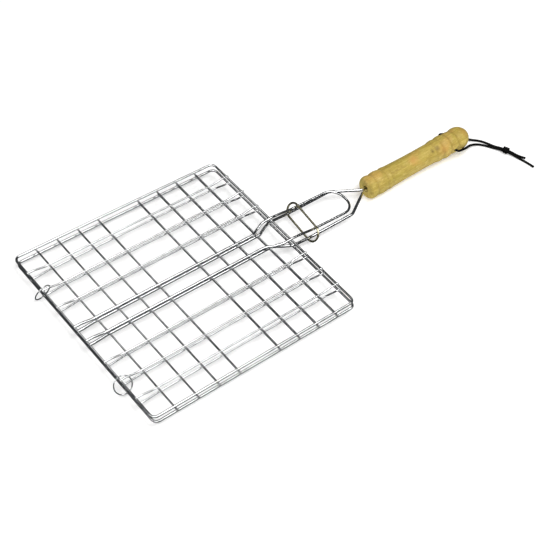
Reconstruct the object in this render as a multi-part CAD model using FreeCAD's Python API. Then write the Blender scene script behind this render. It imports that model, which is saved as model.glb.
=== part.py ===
"""Folding wire grill basket with a turned wooden handle, a locking ring and a hanging cord.

The grids are drawn in a working frame: the hinge side of the upper rim lies on the Y axis, the
handle points along +X and the upper rim's centre line is at height 0. Every piece is then turned
and shifted into the final frame, where the basket lies on the plane Z = 0 as it does on a table:
on the left hinge ring, which hangs lowest, and on the front bead of the handle.
"""
import FreeCAD, Part
import math
import os

# ---- driving dimensions, millimetres ---------------------------------------------------------
GRID_LENGTH = 240.0  # rim centre lines, hinge side to handle side
GRID_WIDTH = 224.0  # rim centre lines, across the handle
GRID_GAP = 9.2  # upper rim centre line down to the lower rim's
LOWER_SHIFT = 2.6  # the lower grid sits this much nearer the handle
CORNER_RADIUS = 5.5

RIM_WIRE = 2.5
BAR_WIRE = 1.8
LOOP_WIRE = 2.6
HANDLE_WIRE = 3.0
LOCK_WIRE = 2.2
RING_WIRE = 1.2
BEND_SHARE = 0.45  # of the shorter run that an arc may take
SHORTEST_RUN = 0.001
WELD_DEPTH = 0.25  # how far crossing wires melt into each other
BAR_OVERHANG = 1.2  # bar ends past the rim's centre line

CELL_PITCH = 24.0
CROSS_BAR_PITCHES = (1, 2, 3, 4, 6, 7, 8, 9)  # the fifth is left out, for a wide middle cell
UPPER_LONG_BARS = (-86.7, -63.1, -38.5, 38.1, 62.4, 87.8)  # across the handle
LOWER_LONG_BARS = (-88.4, -63.4, -38.1, 38.8, 62.9, 86.1)
CENTRE_PAIR_OFFSET = 9.6  # the handle wires and the loop's two legs

BAR_END_RUNS = (6.0, 18.0)  # from the rim: a bar leaves the rim's top, and lies on the cross bars
LEG_END_RUNS = (7.0, 19.0)  # the same for the heavier centre wires

# The centre wires spread to their arms near the handle side: (x, offset) and then (x, height).
LOOP_ARM_OFFSET = 16.8
LOOP_END_X = 327.5
LOOP_SPREAD = ((211.0, CENTRE_PAIR_OFFSET), (219.5, 13.4))
LOOP_ARM_HEIGHTS = (
    (229.0, 1.5),
    (241.0, 2.3),
    (252.0, 1.4),
    (268.0, -0.9),
    (295.0, -1.9),
    (LOOP_END_X, -2.7),
)
HANDLE_ARM_OFFSET = 19.0
HANDLE_ARM_END_X = 323.0
HANDLE_SPREAD = ((221.0, CENTRE_PAIR_OFFSET, 0.0), (231.0, 14.8, -0.5))  # x, offset, drop
HANDLE_ARM_HEIGHTS = (
    (241.0, -6.7),
    (252.0, -7.6),
    (265.0, -8.4),
    (296.0, -8.2),
    (HANDLE_ARM_END_X, -7.8),
)
HANDLE_BEND_RADIUS = 9.0
BAR_BEND_RADIUS = 5.4
LOOP_END_FLAT = 0.6  # half the straight at the loop's far end
BORE_OFFSET = 1.7  # each handle wire from the bore's axis
WIRES_MEET = 5.5  # the handle wires run side by side from here in front of the wood

LOCK_CENTRE = (269.7, -0.5, -5.4)
LOCK_STRAIGHT = 35.0
LOCK_RADIUS = 8.3  # of the round ends, to the wire's centre line
LOCK_LEAN = 65.0  # degrees up from the grid plane
LOCK_YAW = 6.2  # degrees out of square with the handle

RING_RADIUS = 9.0  # hinge rings, to the wire's centre line
RING_LEFT_CENTRE = (2.0, 66.36, -6.38)
RING_LEFT_NORMAL = (-0.178, 0.969, 0.170)
RING_RIGHT_CENTRE = (1.58, -64.66, -4.93)
RING_RIGHT_NORMAL = (0.109, 0.806, -0.582)

WOOD_FRONT_X = 358.5
WOOD_FRONT_Z = -6.62  # the wood's axis at its front face
WOOD_RISE = 1.75  # degrees that the wood's axis rises towards its tail
WOOD_BORE_RADIUS = 3.5
WOOD_BORE_DEPTH = 42.0
BORE_SPARE = 2.0  # bore left empty past the wires' ends
CROSS_HOLE_RADIUS = 1.7
CROSS_HOLE_X = 122.6  # from the wood's front face, through the last bead

CORD_RADIUS = 1.3
KNOT_LENGTH = 10.0
KNOT_RADIUS = 4.2
KNOT_END_RADIUS = 2.4

# The cord's two strands in the final frame, from the middle of the cross hole outwards: round
# the knob, down to the table, side by side through the knot and on to their cut ends.
NEAR_STRAND = (
    (230.3, 0.0, 17.4),
    (230.3, -15.2, 17.4),
    (238.2, -15.7, 16.8),
    (249.2, -12.8, 11.6),
    (261.4, -8.0, 5.6),
    (272.9, -7.6, 1.6),
    (280.5, -14.0, 1.35),
    (286.1, -22.4, 1.35),
    (290.3, -30.4, 3.1),
    (295.6, -41.0, 3.1),
    (299.3, -50.0, 1.35),
    (302.5, -60.0, 1.35),
    (304.1, -70.0, 1.35),
)
FAR_STRAND = (
    (230.3, 0.0, 17.4),
    (230.3, 15.2, 17.4),
    (238.4, 16.6, 15.2),
    (250.4, 12.6, 10.0),
    (262.4, 6.0, 5.0),
    (273.9, -0.2, 1.6),
    (282.1, -6.8, 1.35),
    (286.3, -14.6, 1.35),
    (289.1, -21.8, 1.45),
    (292.5, -29.0, 3.1),
    (297.9, -39.8, 3.1),
    (301.7, -48.4, 1.35),
    (306.5, -54.9, 1.35),
)
KNOT_CENTRE = (293.9, -34.7, 4.25)
KNOT_DIRECTION = (0.46, -0.89, 0.0)

# ---- heights of the wire layers --------------------------------------------------------------
RIM_RADIUS = RIM_WIRE / 2
BAR_RADIUS = BAR_WIRE / 2
LOOP_RADIUS = LOOP_WIRE / 2
HANDLE_RADIUS = HANDLE_WIRE / 2
BAR_ON_RIM = RIM_RADIUS + BAR_RADIUS - WELD_DEPTH  # above the rim's centre line
LOOP_ON_RIM = RIM_RADIUS + LOOP_RADIUS - WELD_DEPTH
HANDLE_ON_RIM = RIM_RADIUS + HANDLE_RADIUS - WELD_DEPTH
BAR_ON_BAR = BAR_WIRE - WELD_DEPTH  # above a cross bar's centre line
LOOP_ON_BAR = BAR_RADIUS + LOOP_RADIUS - WELD_DEPTH
HANDLE_ON_BAR = BAR_RADIUS + HANDLE_RADIUS - WELD_DEPTH
UPPER_RIM_LEVEL = 0.0
UPPER_CROSS_LEVEL = UPPER_RIM_LEVEL - BAR_ON_RIM  # cross bars lie on the inner side of both rims
LOWER_RIM_LEVEL = -GRID_GAP
LOWER_CROSS_LEVEL = LOWER_RIM_LEVEL + BAR_ON_RIM

# The wood's outline: crest and groove radii against the distance from its front face.
WOOD_FACE_RADIUS = 8.8
WOOD_FRONT_BEAD = ((0.0, WOOD_FACE_RADIUS), (1.4, 11.4), (4.8, 12.7))
WOOD_BEADS = (
    ((4.8, 12.7), (7.6, 12.4), (9.8, 11.6)),
    ((9.8, 11.6), (17.0, 12.8), (24.6, 11.6)),
    ((24.6, 11.6), (27.4, 12.5), (30.6, 12.0)),
    ((30.6, 12.0), (64.0, 11.3), (97.0, 11.5)),
    ((97.0, 11.5), (102.5, 12.5), (107.5, 11.6)),
    ((107.5, 11.6), (113.3, 13.1), (119.2, 11.6)),
    ((119.2, 11.6), (124.5, 12.4), (130.0, 11.4)),
)
WOOD_KNOB = ((130.0, 11.4), (137.5, 12.9), (145.5, 9.9))
WOOD_TIP = ((145.5, 9.9), (149.2, 6.2), (150.9, 1.2))  # ends in a small flat centre mark


def vec(point):
    return FreeCAD.Vector(*point)


def bent_path(points, largest_bend, closed=False):
    """Straight runs through the points, joined by tangent arcs of at most largest_bend."""
    points = [vec(point) for point in points]
    count = len(points)
    bends = []
    for index in range(count):
        here = points[index]
        before = points[index - 1]
        after = points[(index + 1) % count]
        if not closed and index in (0, count - 1):
            bends.append((here, None, here))
            continue
        to_before = before - here
        to_after = after - here
        half_turn = (math.pi - to_before.getAngle(to_after)) / 2
        setback = min(largest_bend * math.tan(half_turn), BEND_SHARE * min(to_before.Length, to_after.Length))
        if closed:
            setback = largest_bend * math.tan(half_turn)
        radius = setback / math.tan(half_turn)
        start = here + to_before.normalize() * setback
        end = here + to_after.normalize() * setback
        middle_line = (to_before + to_after).normalize()
        middle = here + middle_line * (radius / math.cos(half_turn) - radius)
        bends.append((start, middle, end))
    edges = []
    for index, (start, middle, end) in enumerate(bends):
        if middle is not None:
            edges.append(Part.Arc(start, middle, end).toShape())
        if index + 1 < count or closed:
            next_start = bends[(index + 1) % count][0]
            if (next_start - end).Length > SHORTEST_RUN:
                edges.append(Part.LineSegment(end, next_start).toShape())
    return Part.Wire(edges)


def swept(path, radius):
    """A round wire along a path."""
    edge = path.Edges[0]
    start = edge.valueAt(edge.FirstParameter)
    direction = edge.tangentAt(edge.FirstParameter)
    profile = Part.Wire([Part.makeCircle(radius, start, direction)])
    return path.makePipeShell([profile], True, True)


def straight_wire(start, end, radius):
    line = vec(end) - vec(start)
    return Part.makeCylinder(radius, line.Length, vec(start), line)


# ---- the two grids ---------------------------------------------------------------------------
def rim(shift, level):
    half = GRID_WIDTH / 2
    corners = [
        (shift, -half, level),
        (shift + GRID_LENGTH, -half, level),
        (shift + GRID_LENGTH, half, level),
        (shift, half, level),
    ]
    return swept(bent_path(corners, CORNER_RADIUS, closed=True), RIM_RADIUS)


def cross_bar(x, level):
    """A straight bar across the handle, welded on the rim's inner side."""
    reach = GRID_WIDTH / 2 + BAR_OVERHANG
    return straight_wire((x, -reach, level), (x, reach, level), BAR_RADIUS)


def long_bar(shift, y, rim_level, cross_level):
    """A bar along the handle, welded over the cross bars, its ends on top of the rim."""
    on_rim = rim_level + BAR_ON_RIM
    on_bars = cross_level + BAR_ON_BAR
    flat, slope = BAR_END_RUNS
    points = [
        (shift - BAR_OVERHANG, y, on_rim),
        (shift + flat, y, on_rim),
        (shift + slope, y, on_bars),
        (shift + GRID_LENGTH - slope, y, on_bars),
        (shift + GRID_LENGTH - flat, y, on_rim),
        (shift + GRID_LENGTH + BAR_OVERHANG, y, on_rim),
    ]
    return swept(bent_path(points, BAR_BEND_RADIUS), BAR_RADIUS)


def loop_leg(sign):
    """The loop's points on one side, from its end on the hinge side of the rim outwards."""
    leg = sign * CENTRE_PAIR_OFFSET
    arm = sign * LOOP_ARM_OFFSET
    on_rim = UPPER_RIM_LEVEL + LOOP_ON_RIM
    on_bars = UPPER_CROSS_LEVEL + LOOP_ON_BAR
    flat, slope = LEG_END_RUNS
    on_grid = [(-BAR_OVERHANG, leg, on_rim), (flat, leg, on_rim), (slope, leg, on_bars)]
    spread = [(x, sign * offset, on_bars) for x, offset in LOOP_SPREAD]
    along_arm = [(x, arm, height) for x, height in LOOP_ARM_HEIGHTS]
    return on_grid + spread + along_arm


def upper_loop():
    outward = loop_leg(-1)
    back = loop_leg(1)[::-1]
    return swept(bent_path(outward + back, LOOP_ARM_OFFSET - LOOP_END_FLAT), LOOP_RADIUS)


def wood_axis_point(distance):
    """A point on the wood's axis, by its distance behind the front face."""
    rise = math.radians(WOOD_RISE)
    x = WOOD_FRONT_X + distance * math.cos(rise)
    return (x, 0.0, WOOD_FRONT_Z + distance * math.sin(rise))


def handle_wire(sign):
    """A heavy wire from the lower rim's hinge side to the bottom of the wood's bore."""
    leg = sign * CENTRE_PAIR_OFFSET
    arm = sign * HANDLE_ARM_OFFSET
    on_rim = LOWER_RIM_LEVEL + HANDLE_ON_RIM
    on_bars = LOWER_CROSS_LEVEL + HANDLE_ON_BAR
    meeting = wood_axis_point(-WIRES_MEET)
    seat = wood_axis_point(WOOD_BORE_DEPTH - BORE_SPARE)
    flat, slope = LEG_END_RUNS
    on_grid = [
        (LOWER_SHIFT - BAR_OVERHANG, leg, on_rim),
        (LOWER_SHIFT + flat, leg, on_rim),
        (LOWER_SHIFT + slope, leg, on_bars),
    ]
    spread = [(x, sign * offset, on_bars + drop) for x, offset, drop in HANDLE_SPREAD]
    along_arm = [(x, arm, height) for x, height in HANDLE_ARM_HEIGHTS]
    in_bore = [(x, sign * BORE_OFFSET, z) for x, _, z in (meeting, seat)]
    return swept(bent_path(on_grid + spread + along_arm + in_bore, HANDLE_BEND_RADIUS), HANDLE_RADIUS)


# ---- the loose rings -------------------------------------------------------------------------
def locking_ring():
    """A long round-ended ring, drawn flat and then leaned over the four wires it holds."""
    half = LOCK_STRAIGHT / 2 + LOCK_RADIUS
    corners = [
        (-LOCK_RADIUS, -half, 0.0),
        (LOCK_RADIUS, -half, 0.0),
        (LOCK_RADIUS, half, 0.0),
        (-LOCK_RADIUS, half, 0.0),
    ]
    ring = swept(bent_path(corners, LOCK_RADIUS, closed=True), LOCK_WIRE / 2)
    ring.rotate(FreeCAD.Vector(), FreeCAD.Vector(0, 1, 0), -LOCK_LEAN)
    ring.rotate(FreeCAD.Vector(), FreeCAD.Vector(0, 0, 1), -LOCK_YAW)
    ring.translate(vec(LOCK_CENTRE))
    return ring


def hinge_ring(centre, normal):
    return Part.makeTorus(RING_RADIUS, RING_WIRE / 2, vec(centre), vec(normal))


# ---- the wooden handle -----------------------------------------------------------------------
def wooden_handle():
    """One turned piece: front bead, two beads, long waist, three beads and a round knob."""
    arcs = [WOOD_FRONT_BEAD, *WOOD_BEADS, WOOD_KNOB, WOOD_TIP]
    edges = [line_on_outline((0, 0), (0, WOOD_FACE_RADIUS))]
    for arc in arcs:
        start, middle, end = [vec((x, 0, radius)) for x, radius in arc]
        edges.append(Part.Arc(start, middle, end).toShape())
    tip_x = WOOD_TIP[-1][0]
    edges.append(line_on_outline(WOOD_TIP[-1], (tip_x, 0)))
    edges.append(line_on_outline((tip_x, 0), (0, 0)))
    outline = Part.Face(Part.Wire(edges))
    wood = outline.revolve(FreeCAD.Vector(), FreeCAD.Vector(1, 0, 0), 360)
    bore = Part.makeCylinder(
        WOOD_BORE_RADIUS, WOOD_BORE_DEPTH + 1, FreeCAD.Vector(-1, 0, 0), FreeCAD.Vector(1, 0, 0)
    )
    reach = WOOD_KNOB[1][1] * 1.5
    cross_hole = Part.makeCylinder(
        CROSS_HOLE_RADIUS, 2 * reach, FreeCAD.Vector(CROSS_HOLE_X, -reach, 0), FreeCAD.Vector(0, 1, 0)
    )
    wood = wood.cut(bore).cut(cross_hole)
    wood.rotate(FreeCAD.Vector(), FreeCAD.Vector(0, 1, 0), -WOOD_RISE)
    wood.translate(vec(wood_axis_point(0.0)))
    return wood


def line_on_outline(start, end):
    return Part.LineSegment(vec((start[0], 0, start[1])), vec((end[0], 0, end[1]))).toShape()


# ---- the hanging cord ------------------------------------------------------------------------
def cord_strand(name, route):
    """A strand of cord, in straight runs joined by the widest arcs that fit."""
    path = bent_path(route, math.inf)
    strand = swept(path, CORD_RADIUS)
    radii = [edge.Curve.Radius for edge in path.Edges if hasattr(edge.Curve, "Radius")]
    expected = math.pi * CORD_RADIUS**2 * path.Length
    print(name, "length", round(path.Length, 1), "bend radii", [round(radius, 1) for radius in radii])
    print(name, "volume over section times length", round(strand.Volume / expected, 4))
    return strand


def cord_knot():
    """The knot's bulk: a barrel that both strands run through."""
    half = KNOT_LENGTH / 2
    edges = [
        line_on_outline((-half, 0), (-half, KNOT_END_RADIUS)),
        Part.Arc(
            vec((-half, 0, KNOT_END_RADIUS)), vec((0, 0, KNOT_RADIUS)), vec((half, 0, KNOT_END_RADIUS))
        ).toShape(),
        line_on_outline((half, KNOT_END_RADIUS), (half, 0)),
        line_on_outline((half, 0), (-half, 0)),
    ]
    outline = Part.Face(Part.Wire(edges))
    knot = outline.revolve(FreeCAD.Vector(), FreeCAD.Vector(1, 0, 0), 360)
    heading = math.degrees(math.atan2(KNOT_DIRECTION[1], KNOT_DIRECTION[0]))
    knot.rotate(FreeCAD.Vector(), FreeCAD.Vector(0, 0, 1), heading)
    knot.translate(vec(KNOT_CENTRE))
    return knot


# ---- assembly --------------------------------------------------------------------------------
def wire_pieces():
    """Every piece but the cord, by name, in the working frame."""
    grids = (
        ("upper", 0.0, UPPER_RIM_LEVEL, UPPER_CROSS_LEVEL, UPPER_LONG_BARS),
        ("lower", LOWER_SHIFT, LOWER_RIM_LEVEL, LOWER_CROSS_LEVEL, LOWER_LONG_BARS),
    )
    pieces = {}
    for name, shift, rim_level, cross_level, long_bars in grids:
        pieces[f"{name}_rim"] = rim(shift, rim_level)
        for number, pitches in enumerate(CROSS_BAR_PITCHES, 1):
            x = shift + pitches * CELL_PITCH
            pieces[f"{name}_cross_bar_{number}"] = cross_bar(x, cross_level)
        for number, y in enumerate(long_bars, 1):
            bar = long_bar(shift, y, rim_level, cross_level)
            pieces[f"{name}_long_bar_{number}"] = bar
    pieces["upper_loop"] = upper_loop()
    pieces["handle_wire_left"] = handle_wire(1)
    pieces["handle_wire_right"] = handle_wire(-1)
    pieces["locking_ring"] = locking_ring()
    pieces["hinge_ring_left"] = hinge_ring(RING_LEFT_CENTRE, RING_LEFT_NORMAL)
    pieces["hinge_ring_right"] = hinge_ring(RING_RIGHT_CENTRE, RING_RIGHT_NORMAL)
    pieces["wooden_handle"] = wooden_handle()
    return pieces


def ring_bottom():
    """The lowest height of the left hinge ring, which hangs below the grids."""
    across = math.hypot(*RING_LEFT_NORMAL[:2]) / vec(RING_LEFT_NORMAL).Length
    return RING_LEFT_CENTRE[2] - RING_RADIUS * across - RING_WIRE / 2


def resting_tilt():
    """Degrees between the grids and the table that the basket lies on."""
    crest, crest_radius = WOOD_FRONT_BEAD[-1]
    crest_x, _, crest_z = wood_axis_point(crest)
    rise = ring_bottom() - (crest_z - crest_radius)
    return math.degrees(math.atan2(rise, crest_x - RING_LEFT_CENTRE[0]))


def settle(pieces):
    """Turn the pieces to their resting tilt, centre them and stand them on Z = 0."""
    for shape in pieces.values():
        shape.rotate(FreeCAD.Vector(), FreeCAD.Vector(0, 1, 0), -resting_tilt())
    box = FreeCAD.BoundBox()
    for shape in pieces.values():
        box.add(shape.optimalBoundingBox(False))
    shift = FreeCAD.Vector(-box.Center.x, -box.Center.y, -box.ZMin)
    for shape in pieces.values():
        shape.translate(shift)
    return shift


def main():
    os.makedirs("parts", exist_ok=True)
    pieces = wire_pieces()
    shift = settle(pieces)
    print("tilt", round(resting_tilt(), 4), "shift", [round(value, 3) for value in shift])
    pieces["cord_near"] = cord_strand("near strand", NEAR_STRAND)
    pieces["cord_far"] = cord_strand("far strand", FAR_STRAND)
    pieces["cord_knot"] = cord_knot()
    for name, shape in pieces.items():
        if not shape.isValid() or len(shape.Solids) != 1:
            print("check", name, shape.isValid(), len(shape.Solids))
        shape.exportStep(f"parts/{name}.step")


main()
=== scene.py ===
"""Looks of the folding wire grill basket: plated wires with spot welds, a turned wooden handle,
and a black braided hanging cord with its knot, on a white table in soft studio light.

Lengths are metres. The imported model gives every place; the cord's route repeats the part's.
"""

import bpy
import math
import random
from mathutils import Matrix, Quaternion, Vector, noise


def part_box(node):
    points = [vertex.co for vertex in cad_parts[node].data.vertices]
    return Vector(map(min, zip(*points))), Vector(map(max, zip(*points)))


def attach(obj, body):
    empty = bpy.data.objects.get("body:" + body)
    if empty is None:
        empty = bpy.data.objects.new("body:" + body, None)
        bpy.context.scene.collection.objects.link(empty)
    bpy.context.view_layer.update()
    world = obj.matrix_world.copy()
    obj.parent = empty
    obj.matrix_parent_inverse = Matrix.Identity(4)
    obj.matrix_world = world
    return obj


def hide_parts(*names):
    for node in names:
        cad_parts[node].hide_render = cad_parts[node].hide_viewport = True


MM = 0.001

# ---- camera ----------------------------------------------------------------------------------
CAMERA_PLACE = (-0.6729, -0.5989, 0.9424)
CAMERA_AZIMUTH = -48.07
CAMERA_ELEVATION = 48.035
CAMERA_ROLL = 11.204
CAMERA_LENS = 83.575

# ---- cord ------------------------------------------------------------------------------------
CORD_DIAMETER = 2.6 * MM
NEAR_STRAND = (
    (230.3, 0.0, 17.4),
    (230.3, -15.2, 17.4),
    (238.2, -15.7, 16.8),
    (249.2, -12.8, 11.6),
    (261.4, -8.0, 5.6),
    (272.9, -7.6, 1.6),
    (280.5, -14.0, 1.35),
    (286.1, -22.4, 1.35),
    (290.3, -30.4, 3.1),
    (295.6, -41.0, 3.1),
    (299.3, -50.0, 1.35),
    (302.5, -60.0, 1.35),
    (304.1, -70.0, 1.35),
)
FAR_STRAND = (
    (230.3, 0.0, 17.4),
    (230.3, 15.2, 17.4),
    (238.4, 16.6, 15.2),
    (250.4, 12.6, 10.0),
    (262.4, 6.0, 5.0),
    (273.9, -0.2, 1.6),
    (282.1, -6.8, 1.35),
    (286.3, -14.6, 1.35),
    (289.1, -21.8, 1.45),
    (292.5, -29.0, 3.1),
    (297.9, -39.8, 3.1),
    (301.7, -48.4, 1.35),
    (306.5, -54.9, 1.35),
)
BRAID_RIDGES = 6  # carriers that run each way round the cord
BRAID_PITCH = 5.0 * MM  # one turn of a carrier
BRAID_DEPTH = 0.07 * MM
CORD_STEP = 0.22 * MM
CORD_SIDES = 36
SEALED_ENDS = (0.72, 0.93, 1.03)  # of the radius, at the rings nearest a heat-sealed end
KNOT_STEPS = 120
KNOT_START = -60  # degrees round the strands where a wrap tucks in, underneath
KNOT_SWEEP = 660  # degrees that a wrap turns
KNOT_SWAY = 0.5 * MM  # how unevenly a wrap advances
KNOT_SWAY_PHASE = 0.8
KNOT_TUCK = 0.5  # how far a wrap's ends draw in, as a share of its reach
KNOT_STACK = 0.06  # how much wider the second cord wraps than the first, as a share
KNOT_TRAVEL = 4.6 * MM  # how far the wraps go along the strands
KNOT_PAIR = 2.3 * MM  # between the two cords that wrap side by side
KNOT_REACH = 3.0 * MM  # sideways, from the middle of the two strands
KNOT_RISE = 2.5 * MM  # up and down
KNOT_MIDDLE = 3.8 * MM  # above the table
KNOT_CORD_RADIUS = 1.22 * MM

# ---- wires -----------------------------------------------------------------------------------
RIM_RADIUS = 1.25 * MM
BAR_RADIUS = 0.9 * MM
CENTRE_PAIR_OFFSET = 9.6 * MM  # the loop's legs and the handle wires, from the middle
CROSS_BARS = 8
LONG_BARS = 6
WELD_SIZE = 1.15 * MM
WELD_SPREAD = (0.92, 1.12)  # smallest and largest bead, as shares of the size
WELD_SINK = 0.1 * MM  # bead centres below the lower wire's top
WELD_FLATNESS = 0.62  # height over width
WELD_LUMPS = 0.16
WELD_RINGS = 6
WELD_SIDES = 12

# ---- wood ------------------------------------------------------------------------------------
WOOD_AXIS_TILT = 2.28  # degrees that the wood's axis rises in the row frame
WOOD_RADIUS = 11.9 * MM
WOOD_GROOVES = (9.8, 24.6, 31.0, 97.0, 107.5, 119.2, 130.0)  # mm behind the front face
GROOVE_HALF = 3.4  # mm
# how dark the painted shade in the turned grooves is, standing in for the shade that falls in them
GROOVE_PAINTED_SHADE = 0.26
DARK_KNOT = (0.15, 0.095, 0.016)
RED_STAIN = (0.60, 0.33, 0.08)
WOOD_SPOTS = (  # share of the length, place round the wood (side, up), size in mm, colour
    (0.652, -0.46, 0.89, 3.4, DARK_KNOT),
    (0.604, -0.47, 0.88, 2.9, DARK_KNOT),
    (0.690, -0.75, 0.66, 2.2, DARK_KNOT),
    (0.705, -0.70, 0.71, 6.0, RED_STAIN),
    (0.930, -0.20, 0.95, 6.5, RED_STAIN),
    (0.420, -0.30, 0.95, 7.0, RED_STAIN),
)

# ---- table -----------------------------------------------------------------------------------
TABLE_GLOW = 0.30  # the table is white acrylic lit from under, so shadows on it are faint
TABLE_HALF = 4.0
TABLE_GAP = 0.05 * MM  # under the lowest piece

# ---- lights ----------------------------------------------------------------------------------
WORLD_STRENGTH = 0.05
SOFTBOX_COLOUR = (1.0, 0.995, 0.985)
SOFTBOXES = (  # name, place, aim, width, depth, power in watts
    ("key", (0.28, -0.42, 1.25), (0.05, -0.1, 0.0), 0.70, 0.85, 9.5),
    ("strip", (-0.05, 0.72, 1.25), (0.0, 0.0, 0.0), 0.7, 0.22, 0.8),
    ("edge", (0.80, -0.36, 1.25), (0.1, 0.0, 0.0), 0.32, 0.24, 1.6),
    ("front", (-0.9, -1.0, 1.9), (0.0, 0.0, 0.0), 1.6, 1.6, 27.0),
    ("fill", (-1.5, 0.2, 1.3), (0.0, 0.0, 0.0), 1.0, 1.0, 8.0),
)

random.seed(11)


# ---- small helpers ---------------------------------------------------------------------------
def new_object(name, data, body):
    obj = bpy.data.objects.new(name, data)
    bpy.context.scene.collection.objects.link(obj)
    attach(obj, body)
    return obj


def mesh_from(name, vertices, faces):
    mesh = bpy.data.meshes.new(name)
    mesh.from_pydata(vertices, [], faces)
    mesh.update()
    mesh.shade_smooth()
    return mesh


class Nodes:
    """A material's node tree, with short calls for the nodes that the materials share."""

    def __init__(self, name):
        self.material = bpy.data.materials.new(name)
        self.material.use_nodes = True
        self.tree = self.material.node_tree
        self.shader = self.tree.nodes["Principled BSDF"]
        self.place = self.add("ShaderNodeTexCoord").outputs["Object"]

    def add(self, kind, **settings):
        node = self.tree.nodes.new(kind)
        for key, value in settings.items():
            setattr(node, key, value)
        return node

    def link(self, source, target):
        self.tree.links.new(source, target)

    def scaled(self, scale, turn=0.0, source=None):
        """Object coordinates turned about Y by turn degrees, then scaled."""
        mapping = self.add("ShaderNodeMapping")
        mapping.inputs["Scale"].default_value = scale
        mapping.inputs["Rotation"].default_value = (0, math.radians(turn), 0)
        self.link(source or self.place, mapping.inputs["Vector"])
        return mapping.outputs["Vector"]

    def noise(self, vector, scale, detail=4.0, roughness=0.55, distortion=0.0):
        node = self.add("ShaderNodeTexNoise")
        node.inputs["Scale"].default_value = scale
        node.inputs["Detail"].default_value = detail
        node.inputs["Roughness"].default_value = roughness
        node.inputs["Distortion"].default_value = distortion
        self.link(vector, node.inputs["Vector"])
        return node.outputs["Fac"]

    def ramp(self, source, *stops):
        node = self.add("ShaderNodeValToRGB")
        ramp = node.color_ramp
        while len(ramp.elements) < len(stops):
            ramp.elements.new(0.5)
        for element, (position, colour) in zip(ramp.elements, stops):
            element.position = position
            element.color = (*colour, 1)
        self.link(source, node.inputs["Fac"])
        return node.outputs["Color"]

    def mix(self, factor, first, second):
        node = self.add("ShaderNodeMix", data_type="RGBA")
        sockets = (node.inputs[0], node.inputs[6], node.inputs[7])  # the colour mix's factor, A and B
        for socket, value in zip(sockets, (factor, first, second)):
            if hasattr(value, "is_output"):
                self.link(value, socket)
            elif isinstance(value, tuple):
                socket.default_value = (*value, 1)
            else:
                socket.default_value = value
        return node.outputs[2]

    def math(self, operation, first, second=0.0):
        node = self.add("ShaderNodeMath", operation=operation)
        for socket, value in zip(node.inputs, (first, second)):
            if hasattr(value, "is_output"):
                self.link(value, socket)
            else:
                socket.default_value = value
        return node.outputs[0]

    def bump(self, height, distance, strength=1.0, below=None):
        node = self.add("ShaderNodeBump")
        node.inputs["Distance"].default_value = distance
        node.inputs["Strength"].default_value = strength
        self.link(height, node.inputs["Height"])
        if below is not None:
            self.link(below, node.inputs["Normal"])
        return node.outputs["Normal"]

    def feed(self, **sockets):
        names = {"colour": "Base Color", "roughness": "Roughness", "normal": "Normal"}
        for key, source in sockets.items():
            self.link(source, self.shader.inputs[names[key]])


def grey(value):
    return (value, value, value)


# ---- materials -------------------------------------------------------------------------------
def plated_wire(name, bright, dull, rough_low, rough_high):
    """Plated wire: soft clouds in the plating, fine specks and a slight unevenness."""
    n = Nodes(name)
    n.shader.inputs["Metallic"].default_value = 1.0
    clouds = n.noise(n.place, 180.0, 5.0)
    specks = n.noise(n.place, 2600.0, 3.0, 0.7)
    colour = n.ramp(clouds, (0.35, dull), (0.6, bright))
    tarnish = tuple(channel * 0.5 for channel in dull)
    colour = n.mix(n.ramp(specks, (0.64, grey(0.0)), (0.8, grey(0.4))), colour, tarnish)
    roughness = n.ramp(clouds, (0.3, grey(rough_high)), (0.65, grey(rough_low)))
    normal = n.bump(n.noise(n.place, 500.0, 3.0), 0.03 * MM, 0.15)
    n.feed(colour=colour, roughness=roughness, normal=normal)
    return n.material


def weld_metal():
    n = Nodes("weld_metal")
    n.shader.inputs["Metallic"].default_value = 1.0
    heat = n.noise(n.place, 420.0, 4.0)
    colour = n.ramp(heat, (0.3, (0.42, 0.38, 0.33)), (0.5, (0.72, 0.71, 0.69)), (0.75, (0.86, 0.86, 0.87)))
    n.feed(
        colour=colour,
        roughness=n.ramp(heat, (0.3, grey(0.42)), (0.7, grey(0.2))),
        normal=n.bump(n.noise(n.place, 2200.0, 4.0), 0.08 * MM, 0.8),
    )
    return n.material


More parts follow.
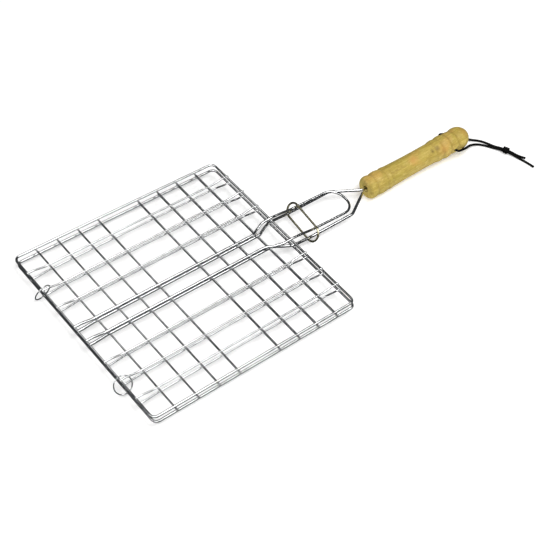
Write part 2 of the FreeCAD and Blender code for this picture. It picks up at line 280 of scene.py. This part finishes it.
def turned_wood(front, tail):
    """Pale turned wood: long grain, pink and olive patches, mottling, pores, knots, lathe lines."""
    n = Nodes("turned_wood")
    along = n.scaled((1.0, 1.0, 1.0), WOOD_AXIS_TILT)
    warp = n.noise(along, 26.0, 3.0)
    grain_place = n.scaled((7.0, 95.0, 95.0), source=along)
    grain = n.noise(grain_place, 1.0, 6.0, 0.62, 1.4)
    fine = n.noise(n.scaled((40.0, 900.0, 900.0), source=along), 1.0, 5.0, 0.7, 0.3)
    patches = n.noise(n.scaled((38.0, 60.0, 60.0), source=along), 1.0, 3.0, 0.5, 0.6)
    base = n.ramp(
        grain,
        (0.28, (0.31, 0.22, 0.036)),
        (0.45, (0.50, 0.375, 0.074)),
        (0.6, (0.62, 0.48, 0.115)),
        (0.78, (0.42, 0.31, 0.055)),
    )
    base = n.mix(n.ramp(patches, (0.5, grey(0.0)), (0.68, grey(0.55))), base, (0.66, 0.40, 0.11))
    olive = n.noise(n.scaled((22.0, 45.0, 45.0), source=along), 1.0, 2.0, 0.5, 0.4)
    base = n.mix(n.ramp(olive, (0.55, grey(0.0)), (0.75, grey(0.5))), base, (0.42, 0.36, 0.06))
    mottle = n.noise(n.scaled((170.0, 420.0, 420.0), source=along), 1.0, 4.0, 0.65, 0.8)
    base = n.mix(n.ramp(mottle, (0.36, grey(0.5)), (0.5, grey(0.0))), base, (0.36, 0.235, 0.05))
    base = n.mix(n.ramp(mottle, (0.55, grey(0.0)), (0.72, grey(0.6))), base, (0.80, 0.64, 0.24))
    pores = n.ramp(fine, (0.3, grey(0.65)), (0.43, grey(0.0)))
    base = n.mix(pores, base, (0.27, 0.17, 0.05))
    length = tail - front
    for share, side, up, size, tint in WOOD_SPOTS:
        spot = front + length * share + Vector((0, side, up)) * WOOD_RADIUS
        distance = n.add("ShaderNodeVectorMath", operation="DISTANCE")
        n.link(n.place, distance.inputs[0])
        distance.inputs[1].default_value = spot
        ragged = n.math("ADD", distance.outputs["Value"], n.math("MULTIPLY", warp, size * 0.8 * MM))
        ragged = n.math("DIVIDE", ragged, size * 1.6 * MM)
        halo = n.ramp(ragged, (0.25, grey(0.85)), (0.55, grey(0.4)), (0.95, grey(0.0)))
        base = n.mix(halo, base, tint)
    # painted shade: the wood is darkened towards this colour in the turned grooves, where shade falls
    base = n.mix(groove_shade(n, front.x, length.length), base, (0.34, 0.225, 0.05))
    n.shader.inputs["Specular IOR Level"].default_value = 0.35
    lathe = n.add("ShaderNodeTexWave", wave_type="BANDS", bands_direction="X")
    lathe.inputs["Scale"].default_value = 420.0
    lathe.inputs["Distortion"].default_value = 1.2
    lathe.inputs["Detail"].default_value = 2.0
    n.link(along, lathe.inputs["Vector"])
    normal = n.bump(fine, 0.10 * MM, 0.6)
    normal = n.bump(lathe.outputs["Fac"], 0.05 * MM, 0.45, normal)
    n.feed(colour=base, roughness=n.ramp(grain, (0.3, grey(0.62)), (0.7, grey(0.45))), normal=normal)
    return n.material


def groove_shade(n, front_x, length):
    """How much painted shade darkens the wood, by the place along it: most in the turned grooves, where
    shade falls.
    """
    split = n.add("ShaderNodeSeparateXYZ")
    n.link(n.place, split.inputs[0])
    share = n.math("DIVIDE", n.math("SUBTRACT", split.outputs["X"], front_x), length)
    stops = []
    for groove in WOOD_GROOVES:
        for place, painted_shade in ((groove - GROOVE_HALF, 0.0), (groove, GROOVE_PAINTED_SHADE), (groove + GROOVE_HALF, 0.0)):
            stops.append((place * MM / length, grey(painted_shade)))
    shade = n.ramp(share, *stops)
    shade.node.color_ramp.interpolation = "EASE"
    return shade


def black_cord():
    n = Nodes("black_cord")
    fuzz = n.noise(n.place, 5200.0, 3.0, 0.7)
    wear = n.noise(n.place, 240.0, 3.0)
    colour = n.ramp(wear, (0.35, grey(0.001)), (0.7, grey(0.004)))
    colour = n.mix(n.ramp(fuzz, (0.5, grey(0.0)), (0.8, grey(0.4))), colour, (0.010, 0.0095, 0.009))
    n.shader.inputs["Specular IOR Level"].default_value = 0.10
    n.feed(
        colour=colour,
        roughness=n.ramp(wear, (0.3, grey(0.62)), (0.7, grey(0.8))),
        normal=n.bump(fuzz, 0.05 * MM, 0.6),
    )
    return n.material


def white_table():
    n = Nodes("white_table")
    colour = n.ramp(n.noise(n.place, 3.0, 2.0), (0.3, grey(0.90)), (0.7, grey(0.93)))
    n.shader.inputs["Specular IOR Level"].default_value = 0.05
    n.feed(colour=colour, roughness=n.ramp(n.noise(n.place, 40.0), (0.3, grey(0.85)), (0.7, grey(0.95))))
    n.shader.inputs["Emission Color"].default_value = (1.0, 1.0, 1.0, 1)
    n.shader.inputs["Emission Strength"].default_value = TABLE_GLOW
    return n.material


# ---- cord ------------------------------------------------------------------------------------
def spline_points(name, route):
    """Points along the smooth spline that has the route as its control points."""
    curve = bpy.data.curves.new(name, "CURVE")
    curve.dimensions = "3D"
    spline = curve.splines.new("NURBS")
    spline.points.add(len(route) - 1)
    for point, place in zip(spline.points, route):
        point.co = (*(value * MM for value in place), 1)
    spline.order_u = 3
    spline.use_endpoint_u = True
    curve.resolution_u = 24
    holder = bpy.data.objects.new(name, curve)
    mesh = bpy.data.meshes.new_from_object(holder)
    points = [vertex.co.copy() for vertex in mesh.vertices]
    bpy.data.objects.remove(holder)
    bpy.data.meshes.remove(mesh)
    return points


def evenly(points, step):
    """The same line with points at an even step."""
    lengths = [0.0]
    for first, second in zip(points, points[1:]):
        lengths.append(lengths[-1] + (second - first).length)
    count = max(2, round(lengths[-1] / step))
    even = []
    index = 0
    for number in range(count + 1):
        target = lengths[-1] * number / count
        while index < len(points) - 2 and lengths[index + 1] < target:
            index += 1
        span = lengths[index + 1] - lengths[index]
        share = (target - lengths[index]) / span if span else 0.0
        even.append(points[index].lerp(points[index + 1], min(share, 1.0)))
    return even


def braided_tube(name, points, radius, body):
    """A braided cord along the points, with heat-sealed ends."""
    points = evenly(points, CORD_STEP)
    count = len(points)
    side = Vector((0, 0, 1))
    vertices = []
    for number, here in enumerate(points):
        ahead = points[min(number + 1, count - 1)] - points[max(number - 1, 0)]
        ahead.normalize()
        side = (side - ahead * side.dot(ahead)).normalized()
        other = ahead.cross(side)
        travelled = number * CORD_STEP / BRAID_PITCH * math.tau
        from_end = min(number, count - 1 - number)
        sealed = SEALED_ENDS[from_end] if from_end < len(SEALED_ENDS) else 1.0
        for step in range(CORD_SIDES):
            turn = math.tau * step / CORD_SIDES
            left = math.cos(BRAID_RIDGES * turn + travelled * BRAID_RIDGES / 2)
            right = math.cos(BRAID_RIDGES * turn - travelled * BRAID_RIDGES / 2)
            over = 0.5 + 0.5 * math.tanh(3 * left * right)
            height = (max(left, right) * 0.7 + over * 0.6 - 0.6) * BRAID_DEPTH
            reach = (radius + height) * sealed
            vertices.append(here + (side * math.cos(turn) + other * math.sin(turn)) * reach)
    faces = []
    for ring in range(count - 1):
        for step in range(CORD_SIDES):
            after = (step + 1) % CORD_SIDES
            low = ring * CORD_SIDES
            high = low + CORD_SIDES
            faces.append((low + step, low + after, high + after, high + step))
    faces.append(tuple(reversed(range(CORD_SIDES))))
    faces.append(tuple((count - 1) * CORD_SIDES + step for step in range(CORD_SIDES)))
    return new_object(name, mesh_from(name, vertices, faces), body), points


def nearest(points, place):
    return min(range(len(points)), key=lambda index: (points[index] - place).length)


def tied_knot(near_line, far_line, body):
    """The overhand knot's outside: the doubled cord wraps round both strands and tucks in."""
    low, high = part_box("cord_knot")
    centre = (Vector(low) + Vector(high)) / 2
    at = nearest(near_line, centre)
    axis = (near_line[at + 8] - near_line[at - 8]).normalized()
    up = (Vector((0, 0, 1)) - axis * axis.z).normalized()
    across = axis.cross(up)
    middle = (near_line[at] + far_line[nearest(far_line, centre)]) / 2
    middle.z = KNOT_MIDDLE
    tubes = []
    for number, offset in enumerate((-0.5, 0.5)):
        line = []
        for step in range(KNOT_STEPS + 1):
            share = step / KNOT_STEPS
            turn = math.radians(KNOT_START + KNOT_SWEEP * share)
            tuck = abs(2 * share - 1) ** 6
            along = (share - 0.5) * KNOT_TRAVEL + offset * KNOT_PAIR
            along += KNOT_SWAY * math.sin(turn + KNOT_SWAY_PHASE)
            outward = across * (math.cos(turn) * KNOT_REACH) + up * (math.sin(turn) * KNOT_RISE)
            line.append(middle + axis * along + outward * (1 + KNOT_STACK * offset - KNOT_TUCK * tuck))
        tube, _ = braided_tube(f"knot_turn_{number + 1}", line, KNOT_CORD_RADIUS, body)
        tubes.append(tube)
    return tubes


# ---- welds -----------------------------------------------------------------------------------
def middle_of(node):
    low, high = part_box(node)
    return (Vector(low) + Vector(high)) / 2


def weld_places(grid, outwards):
    """Where the bars cross each other and the rim. outwards is 1 for the upper grid, whose rim
    lies over its cross bars, and -1 for the lower, whose rim lies under them."""
    long_bars = [middle_of(f"{grid}_long_bar_{number}").y for number in range(1, LONG_BARS + 1)]
    lines = [*long_bars, -CENTRE_PAIR_OFFSET, CENTRE_PAIR_OFFSET]
    low, high = (Vector(corner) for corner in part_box(f"{grid}_rim"))
    inset = Vector((RIM_RADIUS, RIM_RADIUS, RIM_RADIUS))
    rim_low = low + inset
    rim_high = high - inset
    places = []
    for number in range(1, CROSS_BARS + 1):
        bar = middle_of(f"{grid}_cross_bar_{number}")
        for y in lines:
            places.append(Vector((bar.x, y, bar.z + BAR_RADIUS - WELD_SINK)))
        for y in (rim_low.y, rim_high.y):
            places.append(Vector((bar.x, y, bar.z + outwards * (BAR_RADIUS - WELD_SINK))))
    for y in lines:
        for x, z in ((rim_low.x, rim_low.z), (rim_high.x, rim_high.z)):
            places.append(Vector((x, y, z + RIM_RADIUS - WELD_SINK)))
    return places


def add_bead(vertices, faces, place):
    """Adds a lumpy flattened ball, as rings of vertices between two poles."""
    start = len(vertices)
    size = WELD_SIZE * random.uniform(*WELD_SPREAD)
    seed = Vector((random.random(), random.random(), random.random())) * 9
    for ring in range(1, WELD_RINGS):
        tall = math.pi * ring / WELD_RINGS
        for step in range(WELD_SIDES):
            turn = math.tau * step / WELD_SIDES
            x = math.sin(tall) * math.cos(turn)
            y = math.sin(tall) * math.sin(turn)
            ray = Vector((x, y, WELD_FLATNESS * math.cos(tall)))
            vertices.append(place + ray * size * (1 + WELD_LUMPS * noise.noise(ray * 2.2 + seed)))
    top = len(vertices)
    vertices.append(place + Vector((0, 0, WELD_FLATNESS * size)))
    vertices.append(place - Vector((0, 0, WELD_FLATNESS * size)))
    last_ring = start + (WELD_RINGS - 2) * WELD_SIDES
    for step in range(WELD_SIDES):
        after = (step + 1) % WELD_SIDES
        faces.append((top, start + step, start + after))
        faces.append((top + 1, last_ring + after, last_ring + step))
        for row in range(start, last_ring, WELD_SIDES):
            under = row + WELD_SIDES
            faces.append((row + step, under + step, under + after, row + after))


def weld_beads(grid, outwards):
    vertices = []
    faces = []
    for place in weld_places(grid, outwards):
        add_bead(vertices, faces, place)
    name = f"{grid}_welds"
    return new_object(name, mesh_from(name, vertices, faces), f"{grid}_grid")


# ---- stage -----------------------------------------------------------------------------------
def table_top():
    half = TABLE_HALF
    corners = [(-half, -half, 0), (half, -half, 0), (half, half, 0), (-half, half, 0)]
    mesh = mesh_from("table_top", corners, [(0, 1, 2, 3)])
    obj = bpy.data.objects.new("table_top", mesh)
    bpy.context.scene.collection.objects.link(obj)
    obj.location.z = -TABLE_GAP
    obj.visible_glossy = False  # the wires mirror a dark room below, as on a lit glass table
    mesh.materials.append(white_table())


def softbox(name, place, aim, width, depth, power):
    light = bpy.data.lights.new(name, "AREA")
    light.shape = "RECTANGLE"
    light.size = width
    light.size_y = depth
    light.energy = power
    light.color = SOFTBOX_COLOUR
    obj = bpy.data.objects.new(name, light)
    obj.location = place
    obj.rotation_mode = "QUATERNION"
    obj.rotation_quaternion = (Vector(aim) - Vector(place)).to_track_quat("-Z", "Y")
    bpy.context.scene.collection.objects.link(obj)


def studio():
    world = bpy.data.worlds.new("studio")
    world.use_nodes = True
    background = world.node_tree.nodes["Background"]
    background.inputs["Color"].default_value = (0.9, 0.95, 1.0, 1)
    background.inputs["Strength"].default_value = WORLD_STRENGTH
    bpy.context.scene.world = world
    for settings in SOFTBOXES:
        softbox(*settings)


def place_camera():
    azimuth, elevation = math.radians(CAMERA_AZIMUTH), math.radians(CAMERA_ELEVATION)
    back = Vector((
        math.sin(azimuth) * math.cos(elevation),
        -math.cos(azimuth) * math.cos(elevation),
        math.sin(elevation),
    ))
    camera = bpy.data.cameras.new("camera")
    camera.sensor_width = 36.0
    camera.lens = CAMERA_LENS
    camera.clip_start = 0.05
    camera.clip_end = 30.0
    obj = bpy.data.objects.new("camera", camera)
    obj.location = CAMERA_PLACE
    obj.rotation_mode = "QUATERNION"
    level = (-back).to_track_quat("-Z", "Y")
    obj.rotation_quaternion = level @ Quaternion((0, 0, 1), math.radians(CAMERA_ROLL))
    bpy.context.scene.collection.objects.link(obj)
    bpy.context.scene.camera = obj


# ---- the scene -------------------------------------------------------------------------------
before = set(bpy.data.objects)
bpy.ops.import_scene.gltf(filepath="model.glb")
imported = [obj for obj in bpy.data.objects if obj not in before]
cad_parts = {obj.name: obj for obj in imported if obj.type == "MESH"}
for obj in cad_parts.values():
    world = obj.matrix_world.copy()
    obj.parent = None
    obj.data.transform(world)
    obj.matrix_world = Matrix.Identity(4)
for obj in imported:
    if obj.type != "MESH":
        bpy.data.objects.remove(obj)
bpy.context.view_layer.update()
place_camera()

cord_material = black_cord()
lines = {}
for name, route in (("cord_near", NEAR_STRAND), ("cord_far", FAR_STRAND)):
    points = spline_points(name, route)
    strand, line = braided_tube(f"{name}_braid", points, CORD_DIAMETER / 2, "lower_grid")
    strand.data.materials.append(cord_material)
    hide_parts(name)
    lines[name] = line
turns = tied_knot(lines["cord_near"], lines["cord_far"], "lower_grid")
for turn in turns:
    turn.data.materials.append(cord_material)
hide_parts("cord_knot")
for name, pieces in (("cord_near", turns), ("cord_far", ())):
    line = lines[name]

bright = plated_wire("bright_plating", (0.86, 0.87, 0.88), (0.66, 0.67, 0.68), 0.08, 0.18)
ring_plating = plated_wire("yellowed_plating", (0.62, 0.58, 0.40), (0.38, 0.35, 0.22), 0.16, 0.34)
front, tail = (Vector(corner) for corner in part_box("wooden_handle"))
axis_height = (front.z + tail.z) / 2
wood = turned_wood(Vector((front.x, 0, axis_height)), Vector((tail.x, 0, axis_height)))
for name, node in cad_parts.items():
    if name == "wooden_handle":
        finish = wood
    elif name == "locking_ring":
        finish = ring_plating
    elif name.startswith("cord"):
        finish = cord_material
    else:
        finish = bright
    node.data.materials.clear()
    node.data.materials.append(finish)

weld_finish = weld_metal()
for grid, outwards in (("upper", 1), ("lower", -1)):
    beads = weld_beads(grid, outwards)
    beads.data.materials.append(weld_finish)

table_top()
studio()
bpy.context.scene.view_settings.view_transform = "Standard"
